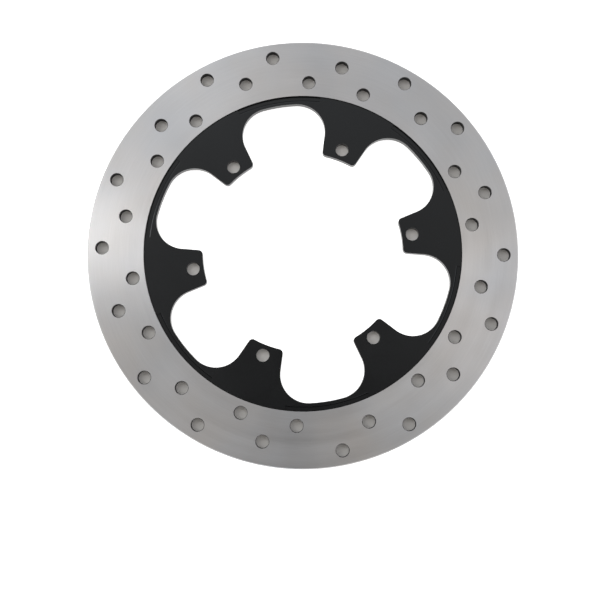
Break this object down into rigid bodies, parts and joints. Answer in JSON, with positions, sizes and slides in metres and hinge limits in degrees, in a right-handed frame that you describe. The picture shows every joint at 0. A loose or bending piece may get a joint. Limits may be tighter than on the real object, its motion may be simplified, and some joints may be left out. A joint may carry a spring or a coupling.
{
  "type": "motorcycle brake disc rotor",
  "caption": "Flat fixed brake disc: a drilled ground-steel friction ring riveted to a black carrier with scalloped lugs for bolting to a wheel hub.",
  "frame": {"origin": "centre of the disc, on the rear mounting face of the lugs, which is the lowest plane of the part", "axes": "+Z along the wheel axis, out of the front face; +X through the bolt hole of the first lug"},
  "size_m": [0.3, 0.3, 0.006],
  "materials": {
    "ground_steel": "circumferentially ground stainless steel",
    "black_coating": "satin black coating on steel",
    "coated_rivet": "satin black coating on steel"
  },
  "bodies": {
    "root": {"friction_ring": "ground_steel", "carrier": "black_coating", "rivet_1": "coated_rivet", "rivet_2": "coated_rivet", "rivet_3": "coated_rivet", "rivet_4": "coated_rivet", "rivet_5": "coated_rivet", "rivet_6": "coated_rivet", "rivet_7": "coated_rivet", "rivet_8": "coated_rivet", "rivet_9": "coated_rivet", "rivet_10": "coated_rivet", "rivet_11": "coated_rivet", "rivet_12": "coated_rivet"}
  },
  "joints": []
}
